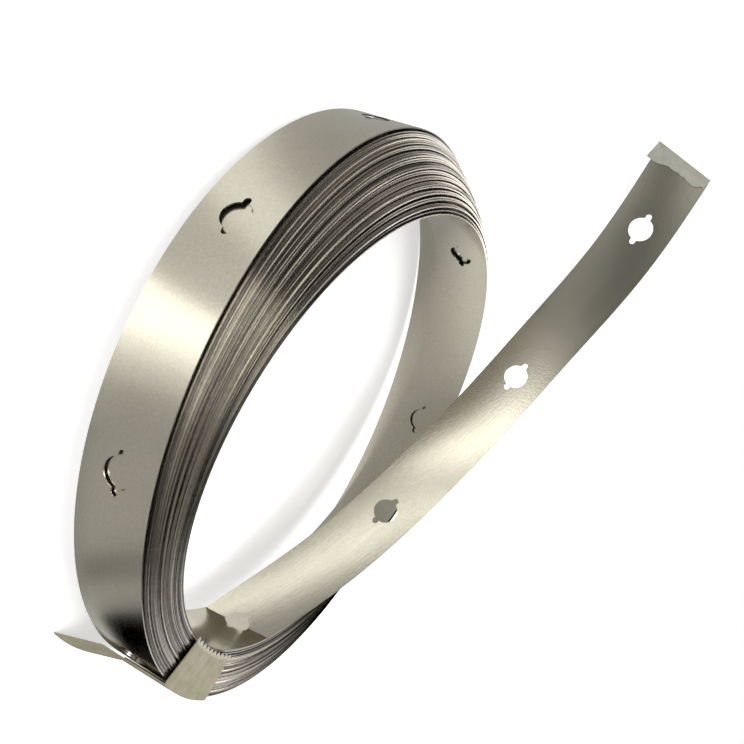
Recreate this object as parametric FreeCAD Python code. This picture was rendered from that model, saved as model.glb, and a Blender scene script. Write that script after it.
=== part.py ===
import FreeCAD, Part
import math
import os
from FreeCAD import Matrix, Placement, Rotation, Vector

# Punched nickel strip, wound into a coil whose inner end springs free, with tape round one spot.
# It is drawn with its axis along Y, where -Y is the side that the turns fan out to, and angles
# go round the axis from +X towards +Z. The origin is the centre of the outermost turn.
# Then it is laid on its plain side, with the fanned side up, and the tape's tail props it a little.

# Strip stock
strip_width = 8.0
strip_thickness = 0.15
hole_pitch = 25.0
hole_diameter = 3.1
slot_width = 0.75
slot_length = 4.4

# Coil: the turns lie in groups, tight on one side and with air between the groups on the other
coil_outer_radius = 35.25
turns = 33
air_between_turns = 0.0106
bore_shift_x = -1.83
bore_shift_z = 0.67
turn_groups = 4
bundles_in_group = 2
gap_half_angle = 130.0
clamp_angle = -153.0
fan_out = 7.2
bundle_step = 0.03
gap_under_turn = 0.2

# Punched holes that show in the outermost and innermost turn. The loose innermost turn is
# not round, so its holes have an angle each; the first one lies beside the crease.
outer_hole_angle = 69.5
outer_holes_before = 5
outer_holes_after = 3
inner_hole_angles = (-128.5, 177.0, 126.0, 75.0, 23.5, -37.0)

# Free end: it leaves the innermost turn at the crease, rooted in the wall of the bore,
# and bends gently. Places of its middle line from the root, and the lean of its width there
crease_angle = -124.15
root_depth = 0.58
root_lean = -16.0
free_path = [
    (11.7, -5.8, 4.4, -14.5),
    (23.2, -10.8, 9.9, -9.0),
    (33.7, -15.3, 16.9, -1.5),
    (43.7, -19.8, 25.4, 1.0),
    (52.7, -24.3, 34.9, 1.5),
    (60.7, -27.3, 44.9, 2.0),
]
free_holes = 3

# Tape round the coil
tape_thickness = 0.14
tape_clearance = 0.05
tape_width = 12.0
tape_angle = -157.0
tape_over_turns = 5.45
tape_slant = 0.35
tape_tail = 5.5
tape_tail_lift = 1.5

# Torn remnant of tape on the free end, a little askew; its middle lies just past the strip's end
tip_tape_length = 1.8
tip_tape_width = 8.9
tip_tape_past_end = 0.45
tip_tape_turn = 11.0

# Sizes that follow from the ones above
turn_bundles = turn_groups * bundles_in_group
bore_shift = math.hypot(bore_shift_x, bore_shift_z)
tight_angle = math.degrees(math.atan2(bore_shift_z, bore_shift_x))
pack_thickness = turns * (strip_thickness + air_between_turns)
bore_radius = coil_outer_radius - pack_thickness - bore_shift
bundle_thickness = pack_thickness / turn_bundles
group_slack = bore_shift / (turn_groups - 1)
pocket_depth = strip_thickness + gap_under_turn
cutter_length = 3 * strip_width
tape_outer_radius = coil_outer_radius + tape_clearance
tape_half_angle = math.degrees(tape_width / coil_outer_radius) / 2


def around_axis(angle):
    """Return the placement that turns a shape by an angle about the coil's axis."""
    return Placement(Vector(0, 0, 0), Rotation(Vector(0, -1, 0), angle))


def direction(angle):
    """Return the unit vector that points away from the axis at an angle."""
    return Vector(math.cos(math.radians(angle)), 0, math.sin(math.radians(angle)))


def axis_cylinder(radius, start_angle=0.0, sweep=360.0):
    """Return a cylinder along the coil's axis, or a slice of one, longer than the coil."""
    cylinder = Part.makeCylinder(radius, cutter_length, Vector(0, 0, -cutter_length / 2),
                                 Vector(0, 0, 1), sweep)
    along_axis = Rotation(Vector(1, 0, 0), 90)
    cylinder.Placement = around_axis(start_angle).multiply(Placement(Vector(0, 0, 0), along_axis))
    return cylinder


def bundle_radius(index):
    """Return the outer radius of a bundle of turns."""
    return coil_outer_radius - index * bundle_thickness - index // bundles_in_group * group_slack


def bundle_placement(index):
    """Place a bundle: off centre as its group is, and tilted about the clamped side."""
    share = index // bundles_in_group / (turn_groups - 1)
    lift = index / (turn_bundles - 1) * fan_out / 2
    tilt = math.degrees(math.atan(lift / bundle_radius(index)))
    hinge = direction(clamp_angle).cross(Vector(0, 1, 0))
    centre = Vector(share * bore_shift_x, -lift - index * bundle_step, share * bore_shift_z)
    return Placement(centre, Rotation(hinge, tilt))


def bundle_side(index, side):
    """Return the plane of one side of a bundle; side is -1 on the fanned side and +1 behind."""
    upright = Placement(Vector(0, side * strip_width / 2, 0), Rotation(Vector(1, 0, 0), 90))
    return bundle_placement(index).multiply(upright)


def bundle_rim(index, radius, side):
    """Return one rim of a bundle as a circle."""
    rim = Part.Circle(Vector(0, 0, 0), Vector(0, 0, 1), radius).toShape()
    rim.Placement = bundle_side(index, side)
    return rim


def bundle_wall(index, radius):
    """Return the round wall of a bundle, from its far rim to its near one."""
    wall = Part.makeCylinder(radius, strip_width).Faces[0]
    wall.Placement = bundle_side(index, 1)
    return wall


def bundle_end(index, side):
    """Return the flat ring that the edges of a bundle's turns make on one side."""
    outer = bundle_rim(index, bundle_radius(index), side)
    inner = bundle_rim(index, bundle_radius(index) - bundle_thickness, side)
    return Part.Face(Part.Wire(outer)).cut(Part.Face(Part.Wire(inner))).Faces[0]


def pack_of_turns():
    """Close the walls and ends of all bundles into one solid, with steps between the bundles."""
    innermost = turn_bundles - 1
    faces = [bundle_wall(0, coil_outer_radius), bundle_wall(innermost, bore_radius)]
    for side in (-1, 1):
        for index in range(turn_bundles):
            faces.append(bundle_end(index, side))
        for index in range(innermost):
            inner_rim = bundle_rim(index, bundle_radius(index) - bundle_thickness, side)
            next_rim = bundle_rim(index + 1, bundle_radius(index + 1), side)
            faces.append(Part.makeRuledSurface(inner_rim, next_rim))
    shell = Part.makeShell(faces)
    shell.sewShape()
    solid = Part.makeSolid(shell)
    if solid.Volume < 0:
        solid.reverse()
    return solid


def gap_inside_group(group):
    """Return the crescent of air between a group of turns and the next group further in."""
    last = (group + 1) * bundles_in_group - 1
    loose_angle = tight_angle + 180.0
    crescent = axis_cylinder(bundle_radius(last) - bundle_thickness,
                             loose_angle - gap_half_angle, 2 * gap_half_angle)
    crescent.Placement = bundle_placement(last).multiply(crescent.Placement)
    next_group = axis_cylinder(bundle_radius(last + 1))
    next_group.Placement = bundle_placement(last + 1).multiply(next_group.Placement)
    return crescent.cut(next_group)


def hole_punch():
    """Return the punch: a round hole with a slot along X whose ends are cut to half an octagon."""
    length = 4 * pocket_depth
    punch = Part.makeCylinder(hole_diameter / 2, length, Vector(0, 0, -length / 2))
    corner = Vector(-slot_length / 2, -slot_width / 2, -length / 2)
    slot = Part.makeBox(slot_length, slot_width, length, corner)
    upright_edges = [edge for edge in slot.Edges if edge.BoundBox.ZLength > slot_width]
    octagon_corner = slot_width / 2 * (1 - math.tan(math.radians(22.5)))
    slot = slot.makeChamfer(octagon_corner, upright_edges)
    return punch.fuse(slot)


def frame_placement(position, along, outward):
    """Place a shape with its X along the strip and its Z out of the strip's face."""
    across = outward.cross(along)
    matrix = Matrix(
        along.x, across.x, outward.x, position.x,
        along.y, across.y, outward.y, position.y,
        along.z, across.z, outward.z, position.z,
        0, 0, 0, 1)
    return Placement(matrix)


def punch_at_angle(radius, angle):
    """Return the punch where it goes through a turn of the coil."""
    punch = hole_punch()
    outward = direction(angle)
    punch.Placement = frame_placement(outward * radius, direction(angle + 90), outward)
    return punch


def rim_pockets():
    """Return the punched holes of the outermost turn, as deep as the turn and the gap below it."""
    pitch_angle = math.degrees(hole_pitch / coil_outer_radius)
    core = axis_cylinder(coil_outer_radius - pocket_depth)
    pockets = []
    for count in range(-outer_holes_before, outer_holes_after + 1):
        punch = punch_at_angle(coil_outer_radius, outer_hole_angle + count * pitch_angle)
        pockets.append(punch.cut(core))
    return pockets


def bore_pockets():
    """Return the punched holes of the innermost turn, cut into the wall of the bore."""
    wall = axis_cylinder(bore_radius + pocket_depth)
    pockets = []
    for angle in inner_hole_angles:
        pocket = punch_at_angle(bore_radius, angle).common(wall)
        pocket.Placement = bundle_placement(turn_bundles - 1).multiply(pocket.Placement)
        pockets.append(pocket)
    return pockets


def coil_of_turns():
    """Return the coil with the air between its groups and the holes of both visible turns."""
    coil = pack_of_turns()
    for group in range(turn_groups - 1):
        coil = coil.cut(gap_inside_group(group))
    for pocket in rim_pockets() + bore_pockets():
        coil = coil.cut(pocket)
    return coil


def free_stations():
    """Return the places of the free end's middle line, from its root in the bore's wall."""
    in_wall = direction(crease_angle) * (bore_radius + root_depth)
    root = bundle_placement(turn_bundles - 1).multVec(in_wall)
    stations = [(root, root_lean)]
    for x, y, z, lean in free_path:
        stations.append((root + Vector(x, y, z), lean))
    return stations


def free_frames():
    """Return the middle line, and position, directions along and across and normal on it."""
    stations = free_stations()
    middle = Part.BSplineCurve()
    middle.interpolate([position for position, lean in stations])
    frames = []
    for position, lean in stations:
        along = middle.tangent(middle.parameter(position))[0]
        along.normalize()
        across = Vector(0, -1, 0) - along * Vector(0, -1, 0).dot(along)
        across.normalize()
        normal = along.cross(across)
        turn = math.radians(lean)
        leaned = across * math.cos(turn) - normal * math.sin(turn)
        frames.append((position, along, leaned, along.cross(leaned)))
    return middle, frames


def strip_edge(frames, side, face):
    """Return one long edge of the free end, on one side and one face of the strip."""
    points = []
    for position, along, across, normal in frames:
        reach = across * (side * strip_width / 2) + normal * (face * strip_thickness / 2)
        points.append(position + reach)
    curve = Part.BSplineCurve()
    curve.interpolate(points)
    return curve.toShape()


def free_frame_at(middle, frames, distance):
    """Return position, direction along and face normal at a distance from the free end's root."""
    parameter = middle.parameterAtDistance(distance, middle.FirstParameter)
    position = middle.value(parameter)
    along = middle.tangent(parameter)[0]
    along.normalize()
    stations = [middle.parameter(frame[0]) for frame in frames]
    index = 0
    while index < len(stations) - 2 and stations[index + 1] < parameter:
        index += 1
    part = (parameter - stations[index]) / (stations[index + 1] - stations[index])
    normal = frames[index][3] * (1 - part) + frames[index + 1][3] * part
    normal = normal - along * normal.dot(along)
    normal.normalize()
    return position, along, normal


def plain_free_end(frames):
    """Return the free end of the strip without its holes."""
    loop = []
    for side, face in ((1, 1), (1, -1), (-1, -1), (-1, 1)):
        loop.append(strip_edge(frames, side, face))
    faces = []
    for edge, next_edge in zip(loop, loop[1:] + loop[:1]):
        faces.append(Part.makeRuledSurface(edge, next_edge))
    starts = [edge.valueAt(edge.FirstParameter) for edge in loop]
    stops = [edge.valueAt(edge.LastParameter) for edge in loop]
    for corners in (starts, stops):
        faces.append(Part.Face(Part.makePolygon(corners + corners[:1])))
    shell = Part.makeShell(faces)
    shell.sewShape()
    strip = Part.makeSolid(shell)
    if strip.Volume < 0:
        strip.reverse()
    return strip


def free_hole_frames(middle, frames):
    """Return the frames of the free end's holes, at one pitch from the last hole in the coil."""
    root_after_hole = math.radians(crease_angle - inner_hole_angles[0]) * bore_radius
    holes = []
    for count in range(1, free_holes + 1):
        holes.append(free_frame_at(middle, frames, hole_pitch * count - root_after_hole))
    return holes


def free_end():
    """Return the free end of the strip with its punched holes."""
    middle, frames = free_frames()
    strip = plain_free_end(frames)
    for position, along, normal in free_hole_frames(middle, frames):
        punch = hole_punch()
        punch.Placement = frame_placement(position, along, normal)
        strip = strip.cut(punch)
    return strip


def tape_round_coil():
    """Return the tape that runs over the fanned side, under the rim and out behind as a tail."""
    near = -strip_width / 2 - turn_bundles * bundle_step - tape_clearance
    outer = tape_outer_radius
    inner = outer - tape_clearance - tape_over_turns
    back = strip_width / 2
    outline = [
        (inner, near - tape_thickness - tape_slant),
        (inner, near - tape_slant),
        (outer, near),
        (outer, back),
        (outer + tape_tail_lift, back + tape_tail),
        (outer + tape_tail_lift + tape_thickness, back + tape_tail),
        (outer + tape_thickness, back),
        (outer + tape_thickness, near - tape_thickness),
    ]
    points = [Vector(radius, place, 0) for radius, place in outline]
    face = Part.Face(Part.makePolygon(points + points[:1]))
    tape = face.revolve(Vector(0, 0, 0), Vector(0, -1, 0), 2 * tape_half_angle)
    tape.Placement = around_axis(tape_angle - tape_half_angle)
    return tape


def tape_on_tip():
    """Return the short tape on the upper face of the strip's end, which reaches past the end."""
    position, along, across, normal = free_frames()[1][-1]
    corner = Vector(-tip_tape_length / 2, -tip_tape_width / 2,
                    -strip_thickness / 2 - tape_clearance - tape_thickness)
    tape = Part.makeBox(tip_tape_length, tip_tape_width, tape_thickness, corner)
    askew = Placement(Vector(tip_tape_past_end, 0, 0), Rotation(Vector(0, 0, 1), tip_tape_turn))
    tape.Placement = frame_placement(position, along, normal).multiply(askew)
    return tape


def laid_on_plain_side():
    """Return the turn that lays the coil down, on the corners of the tape's tail and the far rim."""
    tail_reach = (tape_outer_radius + tape_tail_lift) * math.cos(math.radians(tape_half_angle))
    lean = math.degrees(math.atan(tape_tail / (coil_outer_radius + tail_reach)))
    hinge = direction(tape_angle).cross(Vector(0, -1, 0))
    on_plain_side = Rotation(Vector(1, 0, 0), -90)
    return Placement(Vector(0, 0, 0), on_plain_side.multiply(Rotation(hinge, lean)))


def write_node(name, shape):
    """Lay a shape down with the coil, check it and write it as one node."""
    shape.Placement = laid_on_plain_side().multiply(shape.Placement)
    assert shape.isValid(), name
    assert len(shape.Solids) == 1, name
    shape.exportStep("parts/" + name + ".step")


os.makedirs("parts", exist_ok=True)
write_node("nickel_strip", coil_of_turns().fuse(free_end()))
write_node("coil_tape", tape_round_coil())
write_node("tip_tape", tape_on_tip())
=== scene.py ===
import bpy
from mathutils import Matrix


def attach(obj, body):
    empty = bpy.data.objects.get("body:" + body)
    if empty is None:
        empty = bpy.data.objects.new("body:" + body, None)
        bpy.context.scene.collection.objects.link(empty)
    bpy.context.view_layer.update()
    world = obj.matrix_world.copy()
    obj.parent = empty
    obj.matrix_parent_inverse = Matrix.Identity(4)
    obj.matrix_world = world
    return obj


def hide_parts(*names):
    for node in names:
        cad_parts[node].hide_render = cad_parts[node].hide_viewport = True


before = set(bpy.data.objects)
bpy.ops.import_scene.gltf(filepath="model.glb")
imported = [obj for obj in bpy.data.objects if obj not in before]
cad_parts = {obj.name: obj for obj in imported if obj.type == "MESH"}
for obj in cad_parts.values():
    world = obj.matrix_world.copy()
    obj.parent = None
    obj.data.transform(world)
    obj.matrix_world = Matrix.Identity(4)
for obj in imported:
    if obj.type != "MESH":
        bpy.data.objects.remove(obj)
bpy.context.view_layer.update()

import bpy
import math
import random
import numpy as np
from mathutils import Matrix, Vector

mm = 0.001
random.seed(7)
print("frame loaded")

# The strip is described in millimetres with the coil's axis along Y and its fanned side at -Y; angles
# go round from +X towards +Z. The whole coil is then laid on its plain side, propped by the tape's tail.
coilRadius = 35.25

lying = {
    "tapeAngle": -157.0,
    "tapeHalfAngle": 9.752,
    "tail": 5.5,
    "tailLift": 1.5,
    "clearance": 0.05,
}
tailRadius = coilRadius + lying["clearance"] + lying["tailLift"]
rimToTail = coilRadius + tailRadius * math.cos(math.radians(lying["tapeHalfAngle"]))
propAngle = math.radians(lying["tapeAngle"])
propHinge = Vector((math.sin(propAngle), 0.0, -math.cos(propAngle)))
propLean = math.atan(lying["tail"] / rimToTail)
layDown = Matrix.Rotation(math.radians(-90), 3, "X") @ Matrix.Rotation(propLean, 3, propHinge)


def laid(point):
    return tuple(layDown @ Vector(point) * mm)


# radii run to the middle of the strip's thickness
coil = {
    "outerRadius": coilRadius - 0.078,
    "innerRadius": 28.001 + 0.075,
    "centreShift": (-1.83, 0.67),
    "turns": 33,
    "turnPitch": 0.16,
    "width": 8.0,
    "thickness": 0.15,
    "startAngle": -157.0,
    "endAngle": -124.15,
    "clampAngle": -153.0,
    "tightAngle": 159.9,
    "stepSpread": 55.0,
    "fanOut": 7.2,
    "edgeStep": 0.0065,
    "edgeSlip": 0.14,
    "segmentsPerTurn": 200,
    "smallGap": (0.008, 160.0),
    "innermostSpan": 385.0,
}
# air between turns: turn counted from outside, width, and the side on which the turns still touch.
# The turns that aren't named here have the small gap.
looseGaps = {0: (0.18, 315.0), 1: (0.03, 160.0), 3: (0.08, 150.0), 6: (0.05, 185.0), 8: (0.12, 170.0),
             11: (0.06, 140.0), 13: (0.1, 160.0), 16: (0.16, 150.0), 18: (0.07, 185.0), 20: (0.14, 165.0),
             22: (0.1, 140.0), 23: (0.2, 150.0), 25: (0.18, 175.0), 27: (0.24, 165.0), 29: (0.24, 155.0),
             30: (0.2, 150.0)}


def turnTable():
    # one row per turn: radius, centre x and z, lift of the fanned side, and how far its edge sits out
    count = coil["turns"]
    gaps = [looseGaps.get(turn, coil["smallGap"]) for turn in range(count - 1)]
    gaps[-1] = (0.0, coil["smallGap"][1])
    air = coil["outerRadius"] - coil["innerRadius"] - (count - 1) * coil["turnPitch"]
    scale = air / sum(gap for gap, side in gaps)
    rows = []
    radius = coil["outerRadius"]
    x = 0.0
    z = 0.0
    for turn in range(count):
        slip = 0.0 if turn in (0, count - 1) else random.uniform(-1, 1) * coil["edgeSlip"]
        lift = turn / (count - 1) * coil["fanOut"] / 2
        rows.append([radius, x, z, lift, slip - turn * coil["edgeStep"]])
        if turn < count - 1:
            gap, side = gaps[turn]
            x += gap * scale * math.cos(math.radians(side))
            z += gap * scale * math.sin(math.radians(side))
            radius -= coil["turnPitch"] + gap * scale
    # the innermost turn ends where the bore lies, so the turns between share what is missing
    missing = (coil["centreShift"][0] - x, coil["centreShift"][1] - z)
    for turn, row in enumerate(rows):
        row[1] += missing[0] * turn / (count - 1)
        row[2] += missing[1] * turn / (count - 1)
    return rows


turnRows = turnTable()


def smooth(value):
    value = max(0.0, min(1.0, value))
    return value * value * (3 - 2 * value)


def ringAt(degrees):
    # the strip steps in by one turn near the tight side, and runs true everywhere else
    passed = (degrees - coil["tightAngle"]) / 360.0
    turn = math.floor(passed + 0.5)
    into = (passed - turn) * 360.0
    share = smooth((into + coil["stepSpread"]) / (2 * coil["stepSpread"]))
    last = len(turnRows) - 1
    here = turnRows[min(max(turn, 0), last)]
    following = turnRows[min(max(turn + 1, 0), last)]
    return [a + (b - a) * share for a, b in zip(here, following)]


def coilPoint(degrees, across):
    # a point of the strip's middle sheet; across runs from -width/2 in front to +width/2 behind
    radius, centreX, centreZ, lift, slip = ringAt(degrees)
    tilt = math.atan(lift / radius)
    angle = math.radians(degrees)
    hinge = math.radians(coil["clampAngle"])
    toClamp = radius * math.cos(angle - hinge)
    aside = radius * math.sin(angle - hinge)
    leanedIn = toClamp * math.cos(tilt) - across * math.sin(tilt)
    y = -lift + slip + toClamp * math.sin(tilt) + across * math.cos(tilt)
    x = centreX + leanedIn * math.cos(hinge) - aside * math.sin(hinge)
    z = centreZ + leanedIn * math.sin(hinge) + aside * math.cos(hinge)
    return x, y, z


# path: offsets from the root in x, y and z, and the strip's lean in degrees. innerBundle and innerSteps
# are the solid's: how thick its innermost bundle of turns is, and how far that bundle's edge stands out.
freeEnd = {
    "rootDepth": 0.58,
    "innerBundle": 0.6625,
    "innerSteps": 0.21,
    "path": [(0.0, 0.0, 0.0, -16.0), (11.7, -5.8, 4.4, -14.5), (23.2, -10.8, 9.9, -9.0),
             (33.7, -15.3, 16.9, -1.5), (43.7, -19.8, 25.4, 1.0), (52.7, -24.3, 34.9, 1.5),
             (60.7, -27.3, 44.9, 2.0)],
    "rootPastHole": 2.2,
    "creaseSlant": 0.42,
    "holesFromRoot": (22.8, 47.8, 72.8),
    "endsShortBy": 0.16,
    "easedOver": 24.0,
}


def freeRoot():
    # the free end's root sits in the wall of the bore at the crease
    radius = coil["innerRadius"] - coil["thickness"] / 2
    lift = coil["fanOut"] / 2
    tilt = math.atan(lift / (radius + freeEnd["innerBundle"]))
    hinge = math.radians(coil["clampAngle"])
    angle = math.radians(coil["endAngle"])
    toClamp = (radius + freeEnd["rootDepth"]) * math.cos(angle - hinge)
    aside = (radius + freeEnd["rootDepth"]) * math.sin(angle - hinge)
    x = coil["centreShift"][0] + toClamp * math.cos(tilt) * math.cos(hinge) - aside * math.sin(hinge)
    y = -lift - freeEnd["innerSteps"] + toClamp * math.sin(tilt)
    z = coil["centreShift"][1] + toClamp * math.cos(tilt) * math.sin(hinge) + aside * math.cos(hinge)
    return np.array([x, y, z, 0.0])


def naturalSpline(knots, values):
    # second derivatives of a cubic spline with free ends
    count = len(knots)
    steps = np.diff(knots)
    matrix = np.eye(count)
    right = np.zeros(values.shape)
    for row in range(1, count - 1):
        matrix[row, row - 1] = steps[row - 1]
        matrix[row, row] = 2 * (steps[row - 1] + steps[row])
        matrix[row, row + 1] = steps[row]
        right[row] = 6 * ((values[row + 1] - values[row]) / steps[row]
                          - (values[row] - values[row - 1]) / steps[row - 1])
    return np.linalg.solve(matrix, right)


pathValues = np.array(freeEnd["path"]) + freeRoot()
pathSteps = np.linalg.norm(np.diff(pathValues[:, :3], axis=0), axis=1)
pathKnots = np.concatenate([[0], np.cumsum(pathSteps)])
pathBend = naturalSpline(pathKnots, pathValues)
freeLength = float(pathKnots[-1])
print("free end root", np.round(pathValues[0], 3), "length", round(freeLength, 2))


def splineAt(place):
    # position and lean of the free end at a place along it, and how they change there
    index = int(min(max(np.searchsorted(pathKnots, place) - 1, 0), len(pathKnots) - 2))
    step = pathKnots[index + 1] - pathKnots[index]
    a = (pathKnots[index + 1] - place) / step
    b = 1 - a
    value = (a * pathValues[index] + b * pathValues[index + 1]
             + ((a ** 3 - a) * pathBend[index] + (b ** 3 - b) * pathBend[index + 1]) * step ** 2 / 6)
    slope = ((pathValues[index + 1] - pathValues[index]) / step
             + (-(3 * a ** 2 - 1) * pathBend[index] + (3 * b ** 2 - 1) * pathBend[index + 1]) * step / 6)
    return value, slope


def freePoint(place, across):
    # a point of the free end's middle sheet; before and past its ends it runs on straight
    inside = min(max(place, 0.0), freeLength)
    value, slope = splineAt(inside)
    along = slope[:3] / np.linalg.norm(slope[:3])
    toFront = np.array([0.0, -1.0, 0.0])
    toFront -= along * toFront.dot(along)
    toFront /= np.linalg.norm(toFront)
    normal = np.cross(along, toFront)
    lean = math.radians(value[3])
    width = toFront * math.cos(lean) - normal * math.sin(lean)
    return value[:3] - width * across + along * (place - inside)


# the punched hole: round, with a slot through it along the strip
hole = {
    "radius": 1.55,
    "slotHalf": 2.2,
    "slotWidth": 0.75,
    "patchHalf": 3.5,
    "patchStep": 0.5,
    "rings": 5,
    "ringSpread": 1.6,
}
# the rim's points in a quarter turn, closest where the slot leaves the round hole
quarterAngles = (0, 3.5, 6.5, 9, 11.5, 14, 20, 28, 36, 45, 54, 63, 72, 80, 86)


def holeReach(angle):
    # how far the hole reaches from its middle, whichever is further: the round hole or the slot
    cosine = abs(math.cos(angle))
    sine = abs(math.sin(angle))
    half = hole["slotWidth"] / 2
    straight = hole["slotHalf"] - half
    if sine < 1e-6:
        return hole["slotHalf"]
    reach = half / sine
    if reach * cosine > straight:
        # on the round end of the slot
        b = straight * cosine
        reach = b + math.sqrt(max(0.0, b * b - straight * straight + half * half))
    return max(hole["radius"], reach)


def patchOutline(slant):
    # points round the rectangle of strip that holds a hole, from the middle of its right side
    reach = hole["patchHalf"]
    half = coil["width"] / 2
    step = hole["patchStep"]
    quarter = [(reach, step * k) for k in range(round(half / step) + 1)]
    quarter += [(reach - step * k, half) for k in range(1, round(reach / step))]
    points = list(quarter)
    points += [(0.0, half)] + [(-x, y) for x, y in reversed(quarter[1:])]
    points += [(-reach, 0.0)] + [(-x, -y) for x, y in quarter[1:]]
    points += [(0.0, -half)] + [(x, -y) for x, y in reversed(quarter[1:])]
    return [(x - slant * y * (1 - abs(x) / reach), y) for x, y in points]


def holeRim(slant):
    # as many points round the hole as round its patch
    degrees = list(quarterAngles) + [90] + [180 - value for value in reversed(quarterAngles[1:])]
    degrees += [180 + value for value in degrees]
    points = []
    for value in degrees:
        angle = math.radians(value)
        angle += math.atan(slant) * math.sin(angle) ** 2
        reach = holeReach(angle)
        points.append((reach * math.cos(angle), reach * math.sin(angle)))
    return points


def flatStrip(start, end, holes, step, slantedHole=None):
    # the strip in the flat: a grid between the holes, and rings of faces round each hole
    half = coil["width"] / 2
    rowCount = round(coil["width"] / hole["patchStep"])
    rows = [-half + hole["patchStep"] * k for k in range(rowCount + 1)]
    vertices = []
    faces = []
    index = {}

    def vertex(s, v):
        key = (round(s, 4), round(v, 4))
        if key not in index:
            index[key] = len(vertices)
            vertices.append((s, v))
        return index[key]

    def grid(a, b):
        count = max(1, math.ceil((b - a) / step))
        for k in range(count):
            s0 = a + (b - a) * k / count
            s1 = a + (b - a) * (k + 1) / count
            for v0, v1 in zip(rows[:-1], rows[1:]):
                faces.append((vertex(s0, v0), vertex(s1, v0), vertex(s1, v1), vertex(s0, v1)))

    place = start
    for middle in sorted(holes):
        slant = freeEnd["creaseSlant"] if middle == slantedHole else 0.0
        outline = patchOutline(slant)
        rim = holeRim(slant)
        grid(place, middle - hole["patchHalf"])
        rings = []
        for ring in range(hole["rings"] + 1):
            part = (ring / hole["rings"]) ** hole["ringSpread"]
            rings.append([vertex(middle + a[0] + (b[0] - a[0]) * part, a[1] + (b[1] - a[1]) * part)
                          for a, b in zip(rim, outline)])
        for inner, outer in zip(rings[:-1], rings[1:]):
            count = len(inner)
            for k in range(count):
                faces.append((inner[k], outer[k], outer[(k + 1) % count], inner[(k + 1) % count]))
        place = middle + hole["patchHalf"]
    grid(place, end)
    return vertices, faces


sheet = {
    "textureSpan": 100.0,  # millimetres to one unit of the texture's coordinates
    "sharpAngle": 32,
}


def sheetObject(name, flatVertices, faces, pointAt, materials, thickness):
    # bend the flat sheet into place and give it its thickness; its edges take the last material
    mesh = bpy.data.meshes.new(name)
    mesh.from_pydata([laid(pointAt(s, v)) for s, v in flatVertices], [], faces)
    mesh.update()
    uvLayer = mesh.uv_layers.new(name="alongStrip")
    for loop in mesh.loops:
        s, v = flatVertices[loop.vertex_index]
        uvLayer.data[loop.index].uv = (s / sheet["textureSpan"], v / sheet["textureSpan"])
    item = bpy.data.objects.new(name, mesh)
    bpy.context.scene.collection.objects.link(item)
    for material in materials:
        mesh.materials.append(material)
    solid = item.modifiers.new("thickness", "SOLIDIFY")
    solid.thickness = thickness * mm
    solid.offset = 0.0
    solid.use_even_offset = False
    solid.material_offset_rim = len(materials) - 1
    bpy.context.view_layer.update()
    evaluated = item.evaluated_get(bpy.context.evaluated_depsgraph_get())
    solidMesh = bpy.data.meshes.new_from_object(evaluated)
    item.modifiers.clear()
    item.data = solidMesh
    for face in solidMesh.polygons:
        face.use_smooth = True
    solidMesh.set_sharp_from_angle(angle=math.radians(sheet["sharpAngle"]))
    return item


def shaderNodes(name):
    material = bpy.data.materials.new(name)
    material.use_nodes = True
    nodes, links = material.node_tree.nodes, material.node_tree.links
    return material, nodes, links, nodes["Principled BSDF"]


def noiseOf(nodes, links, source, stretch, scale, detail):
    # noise that can be drawn out along the strip
    fit = nodes.new("ShaderNodeMapping")
    fit.inputs["Scale"].default_value = stretch
    links.new(source, fit.inputs["Vector"])
    noise = nodes.new("ShaderNodeTexNoise")
    noise.inputs["Scale"].default_value = scale
    noise.inputs["Detail"].default_value = detail
    links.new(fit.outputs["Vector"], noise.inputs["Vector"])
    return noise.outputs["Fac"]


def spread(nodes, links, source, low, high, fromLow=0.3, fromHigh=0.7):
    # noise keeps mostly to the middle of its range, so that part is spread out
    fit = nodes.new("ShaderNodeMapRange")
    fit.inputs["From Min"].default_value = fromLow
    fit.inputs["From Max"].default_value = fromHigh
    fit.inputs["To Min"].default_value = low
    fit.inputs["To Max"].default_value = high
    links.new(source, fit.inputs["Value"])
    return fit.outputs["Result"]


def mathOf(nodes, links, operation, *values):
    step = nodes.new("ShaderNodeMath")
    step.operation = operation
    for socket, value in zip(step.inputs, values):
        if isinstance(value, (int, float)):
            socket.default_value = value
        else:
            links.new(value, socket)
    return step.outputs["Value"]


def tinted(nodes, links, factor, first, second):
    tint = nodes.new("ShaderNodeMix")
    tint.data_type = "RGBA"
    tint.inputs["A"].default_value = first
    tint.inputs["B"].default_value = second
    links.new(factor, tint.inputs["Factor"])
    return tint.outputs["Result"]


def addGrain(nodes, links, shader, source, strength, depth):
    bump = nodes.new("ShaderNodeBump")
    bump.inputs["Strength"].default_value = strength
    bump.inputs["Distance"].default_value = depth
    links.new(source, bump.inputs["Height"])
    links.new(bump.outputs["Normal"], shader.inputs["Normal"])


nickel = {
    "colour": (0.68, 0.648, 0.562, 1.0),
    "darker": (0.57, 0.542, 0.458, 1.0),
    "roughness": 0.187,
    "rougher": 0.208,
    "rollingMarks": (5.0, 500.0, 1.0),
    "cloudScale": 110.0,
    "cloudShare": 0.5,
    "grainScale": 3600.0,
    "grainShare": 0.5,
    "grainStrength": 0.3,
    "grainDepth": 0.000014,
}
# slit edges; their near-black darker colour is painted shade of the gaps between turns
slitEdge = {
    "colour": (0.56, 0.52, 0.485, 1.0),
    "darker": (0.065, 0.058, 0.057, 1.0),
    "roughness": 0.24,
    "turnMarks": (1.1, 0.0, 0.0),
    "turnGapShadeShare": 0.85,
    "turnGapShadeContrast": (0.42, 0.58),
    "speckScale": 1500.0,
    "speckShare": 0.15,
    "grainStrength": 0.4,
    "grainDepth": 0.00002,
}


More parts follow.
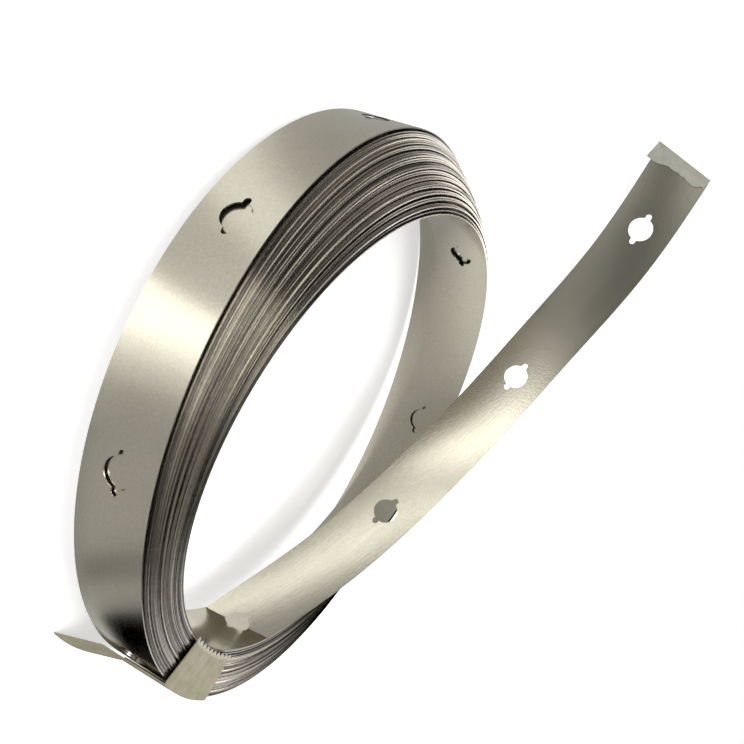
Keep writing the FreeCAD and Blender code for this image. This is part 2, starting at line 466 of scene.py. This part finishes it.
def rolledNickel():
    # faces of the strip: a fine satin grain, faint lengthwise rolling marks, soft clouds of tarnish
    material, nodes, links, shader = shaderNodes("rolledNickel")
    place = nodes.new("ShaderNodeTexCoord")
    streaks = noiseOf(nodes, links, place.outputs["UV"], nickel["rollingMarks"], 1.0, 2.0)
    clouds = noiseOf(nodes, links, place.outputs["Object"], (1.0, 1.0, 1.0), nickel["cloudScale"], 4.0)
    grain = noiseOf(nodes, links, place.outputs["Object"], (1.0, 1.0, 1.0), nickel["grainScale"], 3.0)
    shade = mathOf(nodes, links, "ADD", spread(nodes, links, clouds, 0.0, nickel["cloudShare"]),
                   spread(nodes, links, grain, 0.0, nickel["grainShare"]))
    colour = tinted(nodes, links, shade, nickel["colour"], nickel["darker"])
    links.new(colour, shader.inputs["Base Color"])
    roughness = spread(nodes, links, streaks, nickel["roughness"], nickel["rougher"])
    links.new(roughness, shader.inputs["Roughness"])
    addGrain(nodes, links, shader, grain, nickel["grainStrength"], nickel["grainDepth"])
    shader.inputs["Metallic"].default_value = 1.0
    return material


def slitNickel():
    # the slit edges of the strip, duller and browner; the nearly black turns are painted shade of the gaps
    # between turns
    material, nodes, links, shader = shaderNodes("slitNickelEdge")
    place = nodes.new("ShaderNodeTexCoord")
    turns = noiseOf(nodes, links, place.outputs["UV"], slitEdge["turnMarks"], 1.0, 1.0)
    specks = noiseOf(nodes, links, place.outputs["Object"], (1.0, 1.0, 1.0), slitEdge["speckScale"], 3.0)
    shade = mathOf(nodes, links, "ADD",
                   spread(nodes, links, turns, 0.0, slitEdge["turnGapShadeShare"], *slitEdge["turnGapShadeContrast"]),
                   spread(nodes, links, specks, 0.0, slitEdge["speckShare"]))
    colour = tinted(nodes, links, shade, slitEdge["colour"], slitEdge["darker"])
    links.new(colour, shader.inputs["Base Color"])
    shader.inputs["Roughness"].default_value = slitEdge["roughness"]
    addGrain(nodes, links, shader, specks, slitEdge["grainStrength"], slitEdge["grainDepth"])
    shader.inputs["Metallic"].default_value = 1.0
    return material


stripMaterials = (rolledNickel(), slitNickel())
print("nickel made")

# outermost turn with its holes; angles and spans are in degrees
outerTurn = {
    "holeAngle": 69.5,
    "holeStep": 40.635,
    "before": 5,
    "after": 3,
    "clearOfStart": 6,
    "span": 364.0,
    "step": 1.2,
}
turnStart = coil["startAngle"]
spacing = math.radians(1) * coil["outerRadius"]
holeAngles = [outerTurn["holeAngle"] + outerTurn["holeStep"] * k
              for k in range(-outerTurn["before"], outerTurn["after"] + 1)]
holePlaces = [(angle - turnStart) * spacing for angle in holeAngles
              if angle > turnStart + outerTurn["clearOfStart"]]


def outerPoint(s, v):
    return coilPoint(turnStart + s / spacing, v)


flat, faces = flatStrip(0.0, outerTurn["span"] * spacing, holePlaces, outerTurn["step"])
outer = sheetObject("outermostTurn", flat, faces, outerPoint, stripMaterials, coil["thickness"])
print("outermost turn made")

# turns between the outermost and the innermost one
lapBase = 360.0 * (coil["turns"] - 1)
lastTurnStart = coil["endAngle"] + lapBase - coil["innermostSpan"]
packStart = turnStart + outerTurn["span"]
packSpan = lastTurnStart - packStart
packCount = round(packSpan * coil["segmentsPerTurn"] / 360.0)
packHalf = coil["width"] / 2
packFlat = []
packFaces = []
for k in range(packCount + 1):
    packFlat += [((packStart + packSpan * k / packCount) * spacing, v) for v in (-packHalf, packHalf)]
for k in range(packCount):
    packFaces.append((2 * k, 2 * k + 2, 2 * k + 3, 2 * k + 1))


def packPoint(s, v):
    return coilPoint(s / spacing, v)


pack = sheetObject("packedTurns", packFlat, packFaces, packPoint, stripMaterials, coil["thickness"])
print("packed turns made")

# innermost turn and the free end; the strip is folded at a slant through the hole beside the root
innerTurn = {
    "holesAt": (-37.0, 23.5, 75.0, 126.0, 177.0),
    "creasedHoleAt": -128.5,
    "radius": 28.1,
    "step": 1.2,
}
innerSpacing = math.radians(1) * innerTurn["radius"]
creasedHole = (innerTurn["creasedHoleAt"] + lapBase - lastTurnStart) * innerSpacing
innerHoles = [(angle - 360.0 + lapBase - lastTurnStart) * innerSpacing for angle in innerTurn["holesAt"]]
rootPlace = creasedHole + freeEnd["rootPastHole"]
freeHoles = [rootPlace + place for place in freeEnd["holesFromRoot"]]
stripEnd = rootPlace + freeLength - freeEnd["endsShortBy"]


def coilSide(s, v):
    return np.array(coilPoint(lastTurnStart + s / innerSpacing, v))


def innerPoint(s, v):
    # up to the crease the strip lies on the coil; past it the free end is eased off the coil
    crease = creasedHole - freeEnd["creaseSlant"] * v
    if s <= crease:
        return coilSide(s, v)
    gap = coilSide(crease, v) - freePoint(crease - rootPlace, v)
    left = max(0.0, 1 - (s - crease) / freeEnd["easedOver"])
    return freePoint(s - rootPlace, v) + gap * left ** 2


allHoles = innerHoles + [creasedHole] + freeHoles
flat, faces = flatStrip(0.0, stripEnd, allHoles, innerTurn["step"], creasedHole)
inner = sheetObject("innermostTurnAndFreeEnd", flat, faces, innerPoint, stripMaterials, coil["thickness"])
print("innermost turn and free end made")

for piece in (outer, pack, inner):
    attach(piece, "root")
    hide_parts("nickel_strip")

# crepe paper tape round the turns; overSteps is how far the turn edges under it stand out
tape = {
    "thickness": 0.14,
    "width": 12.0,
    "angle": -157.0,
    "overTurns": 5.45,
    "overSteps": 0.24,
    "clearance": 0.05,
    "slant": 0.35,
    "tail": 5.46,
    "tailLift": 1.5,
    "teeth": 9,
    "toothSteps": 4,
    "toothDepth": 0.5,
    "rows": (10, 8, 10),
    "crepeScale": 800.0,
    "colour": (0.31, 0.275, 0.185, 1.0),
    "paler": (0.44, 0.41, 0.31, 1.0),
    "torn": (0.62, 0.60, 0.50, 1.0),
}
crepe = {
    "wrinkleShare": 0.7,
    "stainShare": 0.3,
    "stainSize": 5,
    "strength": 0.6,
    "depth": 0.00012,
    "roughness": 0.75,
    "specular": 0.3,
    "tornFrom": 0.002,
    "tornTo": 0.014,
}


def crepePaper(name, paper):
    # short wrinkles and paler fibres, palest along a torn edge
    material, nodes, links, shader = shaderNodes(name)
    place = nodes.new("ShaderNodeTexCoord")
    scale = paper["crepeScale"]
    wrinkles = noiseOf(nodes, links, place.outputs["Object"], (1.0, 1.0, 1.0), scale, 6.0)
    stainScale = scale / crepe["stainSize"]
    stains = noiseOf(nodes, links, place.outputs["Object"], (1.0, 1.0, 1.0), stainScale, 3.0)
    both = mathOf(nodes, links, "ADD", spread(nodes, links, wrinkles, 0.0, crepe["wrinkleShare"]),
                  spread(nodes, links, stains, 0.0, crepe["stainShare"]))
    shade = tinted(nodes, links, both, paper["colour"], paper["paler"])
    if "torn" in paper:
        split = nodes.new("ShaderNodeSeparateXYZ")
        links.new(place.outputs["UV"], split.inputs["Vector"])
        edge = spread(nodes, links, split.outputs["X"], 1.0, 0.0, crepe["tornFrom"], crepe["tornTo"])
        whole = shade
        shade = tinted(nodes, links, edge, paper["colour"], paper["torn"])
        links.new(whole, shade.node.inputs["A"])
    links.new(shade, shader.inputs["Base Color"])
    addGrain(nodes, links, shader, wrinkles, crepe["strength"], crepe["depth"])
    shader.inputs["Roughness"].default_value = crepe["roughness"]
    shader.inputs["Specular IOR Level"].default_value = crepe["specular"]
    return material


def tapeLine():
    # the tape's path from its torn end over the turn edges, under the rim and out as a tail
    near = -coil["width"] / 2 - tape["overSteps"] - tape["clearance"] - tape["thickness"] / 2
    rim = coilRadius + tape["clearance"] + tape["thickness"] / 2
    start = coilRadius - tape["overTurns"]
    back = coil["width"] / 2
    onTurns, onRim, onTail = tape["rows"]
    points = []
    for k in range(onTurns + 1):
        points.append((start + (rim - start) * k / onTurns, near - tape["slant"] * (1 - k / onTurns)))
    for k in range(1, onRim + 1):
        points.append((rim, near + (back - near) * k / onRim))
    for k in range(1, onTail + 1):
        part = k / onTail
        points.append((rim + tape["tailLift"] * part, back + tape["tail"] * part))
    return points


line = tapeLine()
acrossCount = tape["teeth"] * tape["toothSteps"]
halfAngle = math.degrees(tape["width"] / coilRadius) / 2


def tapePoint(i, j):
    radius, y = line[int(i)]
    angle = math.radians(tape["angle"] - halfAngle + 2 * halfAngle * j / acrossCount)
    if i == 0:
        toothHalf = tape["toothSteps"] / 2
        radius += tape["toothDepth"] * (1 - abs((j % tape["toothSteps"]) - toothHalf) / toothHalf)
    return radius * math.cos(angle), y, radius * math.sin(angle)


tapeFlat = [(i, j) for i in range(len(line)) for j in range(acrossCount + 1)]
tapeFaces = []
perRow = acrossCount + 1
for i in range(len(line) - 1):
    for j in range(acrossCount):
        k = i * perRow + j
        tapeFaces.append((k, k + 1, k + perRow + 1, k + perRow))
coilTapePaper = crepePaper("coilTapePaper", tape)
coilTape = sheetObject("coilTapeStrip", tapeFlat, tapeFaces, tapePoint, (coilTapePaper,), tape["thickness"])
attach(coilTape, "root")
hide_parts("coil_tape")
print("coil tape made")

# torn remnant of tape on the free end. Tears: depth, how close together, and where they start. Corners:
# how much longer or shorter the remnant is there, where that begins across it, and over what width
tipTape = {
    "length": 1.8,
    "width": 8.9,
    "pastEnd": 0.16,
    "turn": 11.0,
    "shortOf": 0.5,
    "tears": ((0.12, 2.1, 0.0), (0.1, 5.3, 1.0)),
    "tearsFrom": -2.0,
    "longCorner": (0.6, -1.2, 2.0),
    "shortCorner": (0.35, 2.8, 0.8),
    "columns": 36,
    "rows": 4,
    "crepeScale": 1000.0,
    "colour": (0.34, 0.34, 0.285, 1.0),
    "paler": (0.46, 0.46, 0.40, 1.0),
}


def tipPoint(a, b):
    # a runs past the strip's end, b across it towards the front
    turn = math.radians(tipTape["turn"])
    x = tipTape["pastEnd"] + a * math.cos(turn) - b * math.sin(turn)
    y = a * math.sin(turn) + b * math.cos(turn)
    here = freePoint(freeLength + x, -y)
    slope = splineAt(freeLength)[1]
    along = slope[:3] / np.linalg.norm(slope[:3])
    width = freePoint(freeLength, -1.0) - freePoint(freeLength, 0.0)
    normal = np.cross(along, width)
    return here - normal * (coil["thickness"] / 2 + tape["clearance"] + tape["thickness"] / 2)


def tornEdge(b):
    # the remnant's ragged lower edge, across the strip
    tears = sum(depth * math.sin(rate * b + start) for depth, rate, start in tipTape["tears"])
    ragged = max(0.0, tears) * (b > tipTape["tearsFrom"])
    reach, begin, over = tipTape["longCorner"]
    longer = reach * smooth((begin - b) / over)
    reach, begin, over = tipTape["shortCorner"]
    shorter = reach * smooth((b - begin) / over)
    return -tipTape["length"] / 2 + ragged - longer + shorter


tipFlat = []
tipFaces = []
columns = tipTape["columns"]
rowCount = tipTape["rows"]
for j in range(columns + 1):
    b = -tipTape["width"] / 2 + (tipTape["width"] - tipTape["shortOf"]) * j / columns
    lower = tornEdge(b)
    for i in range(rowCount + 1):
        tipFlat.append((lower + (tipTape["length"] / 2 - lower) * i / rowCount, b))
for j in range(columns):
    for i in range(rowCount):
        k = j * (rowCount + 1) + i
        tipFaces.append((k, k + 1, k + rowCount + 2, k + rowCount + 1))
tipTapePaper = crepePaper("tipTapePaper", tipTape)
tip = sheetObject("tipTapeRemnant", tipFlat, tipFaces, tipPoint, (tipTapePaper,), tape["thickness"])
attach(tip, "root")
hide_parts("tip_tape")
print("tip tape made")

# floor, world and the cards that paint reflections. The two sizes are half sides in metres; floorHeight and
# cardLift are in millimetres
studio = {
    "floorSize": 1.5,
    "floorHeight": -6.71,
    "floorColour": (0.9, 0.9, 0.9, 1.0),
    "floorRoughness": 0.9,
    "floorLift": 0.55,
    "horizon": (0.36, 0.35, 0.32, 1.0),
    "sky": (0.85, 0.85, 0.83, 1.0),
    "skyFrom": 0.75,
    "worldStrength": 0.7,
    "cardSize": 0.5,
    "cardLift": 0.15,
    # glow of the cards that paint reflections on the metal
    "paintedReflectionColour": (1.0, 0.985, 0.93, 1.0),
}


def flatPlane(name, size, height):
    mesh = bpy.data.meshes.new(name)
    corners = [(-size, -size, 0), (size, -size, 0), (size, size, 0), (-size, size, 0)]
    mesh.from_pydata(corners, [], [(0, 1, 2, 3)])
    item = bpy.data.objects.new(name, mesh)
    item.location = (0, 0, height * mm)
    bpy.context.scene.collection.objects.link(item)
    return item


def addFloor():
    # the floor is lifted to white where the camera sees it, and keeps the coil's shadow
    floor = flatPlane("studioFloor", studio["floorSize"], studio["floorHeight"])
    material, nodes, links, shader = shaderNodes("floorPaper")
    shader.inputs["Base Color"].default_value = studio["floorColour"]
    shader.inputs["Roughness"].default_value = studio["floorRoughness"]
    shader.inputs["Specular IOR Level"].default_value = 0.0
    shader.inputs["Emission Color"].default_value = (1, 1, 1, 1)
    seen = nodes.new("ShaderNodeLightPath")
    strength = mathOf(nodes, links, "MULTIPLY", seen.outputs["Is Camera Ray"], studio["floorLift"])
    links.new(strength, shader.inputs["Emission Strength"])
    floor.data.materials.append(material)


addFloor()

# painted reflections for the nickel: a glowing card on the table, seen only in reflections, with bright
# bands and dark patches painted on by place. Round the coil: brightness by angle, starting at the rim up to
# atRimUpTo degrees and off the rim beyond that. Further off: brightness by distance. Inside the bore: from
# insideFar at farAt to insideNear at nearAt, in metres along Y. The other distances are millimetres.
mirrored = {
    "round": [(0, 0.45), (60, 0.45), (82, 0.5), (91, 0.75), (101, 1.1), (111, 0.72), (118, 0.75), (123, 1.3),
              (127, 2.0), (133, 1.5), (140, 0.75), (147, 0.45), (163, 0.45), (177, 0.42), (184, 0.26),
              (192, 0.4), (198, 0.28), (202, 0.01), (218, 0.0), (232, 0.02), (242, 0.5), (275, 0.5),
              (360, 0.45)],
    "further": [(0, 0.45), (100, 0.6), (400, 0.6)],
    "insideFar": 0.84,
    "insideNear": 0.36,
    "farAt": -0.024,
    "nearAt": -0.005,
    "atRimUpTo": 150.0,
    "atRim": (33.0, 35.0),
    "offRim": (40.5, 43.5),
    "furtherFrom": (62.0, 85.0),
}


def rampOf(nodes, links, source, stops, reach):
    # brightness along a line of stops; the curve itself runs from 0 to 1 both ways
    brightest = 5.0
    curve = nodes.new("ShaderNodeFloatCurve")
    points = curve.mapping.curves[0].points
    ordered = [(place / reach, value / brightest) for place, value in stops]
    points[0].location = ordered[0]
    points[1].location = ordered[-1]
    for place, value in ordered[1:-1]:
        points.new(place, value)
    curve.mapping.update()
    links.new(mathOf(nodes, links, "DIVIDE", source, reach), curve.inputs["Value"])
    return mathOf(nodes, links, "MULTIPLY", curve.outputs["Value"], brightest)


def blend(nodes, links, factor, first, second):
    step = nodes.new("ShaderNodeMix")
    links.new(factor, step.inputs["Factor"])
    links.new(first, step.inputs["A"])
    links.new(second, step.inputs["B"])
    return step.outputs["Result"]


def glowingCard(card):
    # painted reflection: a glowing card, no lamp, that only the metal's reflections see; gives its nodes and
    # its position in x and y
    card.visible_camera = False
    card.visible_diffuse = False
    card.visible_shadow = False
    card.visible_transmission = False
    card.visible_volume_scatter = False
    material = bpy.data.materials.new(card.name)
    material.use_nodes = True
    card.data.materials.append(material)
    nodes, links = material.node_tree.nodes, material.node_tree.links
    nodes.remove(nodes["Principled BSDF"])
    glow = nodes.new("ShaderNodeEmission")
    glow.inputs["Color"].default_value = studio["paintedReflectionColour"]
    links.new(glow.outputs["Emission"], nodes["Material Output"].inputs["Surface"])
    place = nodes.new("ShaderNodeTexCoord")
    split = nodes.new("ShaderNodeSeparateXYZ")
    links.new(place.outputs["Object"], split.inputs["Vector"])
    return nodes, links, split.outputs["X"], split.outputs["Y"], glow.inputs["Strength"]


def addPaintedTableReflection():
    # the card's glow is painted reflection, seen only in the metal
    card = flatPlane("paintedTableReflection", studio["cardSize"], studio["floorHeight"] + studio["cardLift"])
    nodes, links, x, y, strength = glowingCard(card)
    turned = mathOf(nodes, links, "WRAP", mathOf(nodes, links, "ARCTAN2", y, x), 2 * math.pi, 0.0)
    degrees = mathOf(nodes, links, "MULTIPLY", turned, 180 / math.pi)
    squares = mathOf(nodes, links, "ADD", mathOf(nodes, links, "MULTIPLY", x, x),
                     mathOf(nodes, links, "MULTIPLY", y, y))
    distance = mathOf(nodes, links, "MULTIPLY", mathOf(nodes, links, "SQRT", squares), 1000.0)
    around = rampOf(nodes, links, degrees, mirrored["round"], 360.0)
    further = rampOf(nodes, links, distance, mirrored["further"], mirrored["further"][-1][0])
    offRim = spread(nodes, links, distance, 0.0, 1.0, *mirrored["offRim"])
    atRim = spread(nodes, links, distance, 0.0, 1.0, *mirrored["atRim"])
    isAtRim = mathOf(nodes, links, "LESS_THAN", degrees, mirrored["atRimUpTo"])
    outside = blend(nodes, links, isAtRim, offRim, atRim)
    inside = spread(nodes, links, y, mirrored["insideFar"], mirrored["insideNear"],
                    mirrored["farAt"], mirrored["nearAt"])
    near = blend(nodes, links, outside, inside, around)
    far = spread(nodes, links, distance, 0.0, 1.0, *mirrored["furtherFrom"])
    links.new(blend(nodes, links, far, near, further), strength)


addPaintedTableReflection()

# standing cards that glow only in the metal's reflections, painting its reflections and highlights: one
# beside the coil that the free end mirrors, and one far off that the turn edges mirror. The stops are
# millimetres along the card and its brightness there; the up stops are millimetres above its lower edge, and
# a factor on that brightness.
standing = {
    "paintedFreeEndReflection": {"azimuth": 90.0, "distance": 60.0, "low": -6.5, "high": 34.0,
             "stops": [(-110, 0.5), (-62, 0.5), (-45, 0.8), (-35, 1.0), (-22, 1.0), (-20, 0.8), (-17, 0.1),
                       (-13, 0.05), (-4, 0.08), (12, 0.25), (40, 0.35)],
             "upStops": [(0, 2.0), (8, 2.6), (12, 3.4), (15, 2.6), (18, 0.6), (21, 0.3), (24, 0.5),
                         (27, 3.4), (29.5, 2.6), (31.5, 0.2), (34, 0.05), (40.5, 0.05)]},
    "paintedEdgeReflection": {"azimuth": -50.0, "distance": 600.0, "low": 80.0, "high": 1000.0,
                "stops": [(-420, 1.4), (-250, 1.9), (-200, 2.8), (-150, 4.6), (-110, 4.2), (-70, 3.6),
                          (-35, 0.7), (-5, 0.02), (20, 0.0), (185, 0.0), (205, 0.7), (225, 1.2),
                          (300, 1.2)]},
}


def addStandingCard(name):
    values = standing[name]
    turn = math.radians(values["azimuth"])
    outward = Vector((math.cos(turn), math.sin(turn), 0.0))
    upward = Vector((0.0, 0.0, 1.0))
    side = Vector((math.sin(turn), -math.cos(turn), 0.0))  # along +X at azimuth 90
    start = values["stops"][0][0]
    length = values["stops"][-1][0] - start
    height = values["high"] - values["low"]
    corners = [(0, 0, 0), (length * mm, 0, 0), (length * mm, height * mm, 0), (0, height * mm, 0)]
    mesh = bpy.data.meshes.new(name)
    mesh.from_pydata(corners, [], [(0, 1, 2, 3)])
    card = bpy.data.objects.new(name, mesh)
    bpy.context.scene.collection.objects.link(card)
    corner = (outward * values["distance"] + side * start + upward * values["low"]) * mm
    facing = Matrix((side, upward, -outward)).transposed().to_4x4()
    card.matrix_world = Matrix.Translation(corner) @ facing
    nodes, links, x, y, strength = glowingCard(card)
    stops = [(place - start, value) for place, value in values["stops"]]
    glow = rampOf(nodes, links, mathOf(nodes, links, "MULTIPLY", x, 1000.0), stops, length)
    if "upStops" in values:
        up = mathOf(nodes, links, "MULTIPLY", y, 1000.0)
        upGlow = rampOf(nodes, links, up, values["upStops"], values["upStops"][-1][0])
        glow = mathOf(nodes, links, "MULTIPLY", glow, upGlow)
    links.new(glow, strength)


addStandingCard("paintedFreeEndReflection")
addStandingCard("paintedEdgeReflection")


def addWorld():
    # white where the camera sees it, and a soft sky for light and reflections
    world = bpy.data.worlds.new("studioWorld")
    bpy.context.scene.world = world
    world.use_nodes = True
    nodes, links = world.node_tree.nodes, world.node_tree.links
    background = nodes["Background"]
    place = nodes.new("ShaderNodeTexCoord")
    split = nodes.new("ShaderNodeSeparateXYZ")
    links.new(place.outputs["Generated"], split.inputs["Vector"])
    ramp = nodes.new("ShaderNodeValToRGB")
    ramp.color_ramp.elements[0].position = 0.0
    ramp.color_ramp.elements[0].color = studio["horizon"]
    ramp.color_ramp.elements[1].position = studio["skyFrom"]
    ramp.color_ramp.elements[1].color = studio["sky"]
    links.new(split.outputs["Z"], ramp.inputs["Fac"])
    seen = nodes.new("ShaderNodeLightPath")
    mix = nodes.new("ShaderNodeMix")
    mix.data_type = "RGBA"
    mix.inputs["B"].default_value = (1, 1, 1, 1)
    links.new(seen.outputs["Is Camera Ray"], mix.inputs["Factor"])
    links.new(ramp.outputs["Color"], mix.inputs["A"])
    links.new(mix.outputs["Result"], background.inputs["Color"])
    strength = spread(nodes, links, seen.outputs["Is Camera Ray"], studio["worldStrength"], 1.0, 0.0, 1.0)
    links.new(strength, background.inputs["Strength"])


addWorld()

# angles in degrees, round from +X towards +Y and up; sizes in metres, power in watts
softboxes = {
    "keySoftbox": {"azimuth": 125.0, "elevation": 50.0, "distance": 0.35, "width": 0.2, "height": 0.15,
                   "power": 0.58, "mirrored": True},
    "fillSoftbox": {"azimuth": -40.0, "elevation": 60.0, "distance": 0.5, "width": 0.3, "height": 0.25,
                    "power": 0.4, "mirrored": False},
}


def addSoftbox(name):
    values = softboxes[name]
    azimuth = math.radians(values["azimuth"])
    elevation = math.radians(values["elevation"])
    level = math.cos(elevation)
    toLamp = Vector((level * math.cos(azimuth), level * math.sin(azimuth), math.sin(elevation)))
    place = toLamp * values["distance"]
    light = bpy.data.lights.new(name, "AREA")
    light.shape = "RECTANGLE"
    light.size = values["width"]
    light.size_y = values["height"]
    light.energy = values["power"]
    lamp = bpy.data.objects.new(name, light)
    lamp.location = place
    lamp.rotation_euler = (-place).to_track_quat("-Z", "Y").to_euler()
    lamp.visible_glossy = values["mirrored"]
    bpy.context.scene.collection.objects.link(lamp)


addSoftbox("keySoftbox")
addSoftbox("fillSoftbox")
print("studio made")

# the photograph's view of the coil; place is in coil radii from its middle
photoView = {
    "place": (-1.74744, -1.15579, 2.00437),
    "right": (0.50110, -0.86458, 0.03732),
    "up": (0.55551, 0.35444, 0.75218),
    "back": (-0.66355, -0.35619, 0.65789),
    "lens": 40.0,
    "sensor": 36.0,
    "nearClip": 0.005,
}
camera = bpy.data.cameras.new("photoCamera")
camera.lens = photoView["lens"]
camera.sensor_width = photoView["sensor"]
camera.clip_start = photoView["nearClip"]
view = bpy.data.objects.new("photoCamera", camera)
cameraPlace = laid([value * coilRadius for value in photoView["place"]])
axes = [layDown @ Vector(photoView[name]) for name in ("right", "up", "back")]
view.matrix_world = Matrix.Translation(cameraPlace) @ Matrix(axes).transposed().to_4x4()
bpy.context.scene.collection.objects.link(view)
bpy.context.scene.camera = view
bpy.context.scene.view_settings.view_transform = "Standard"
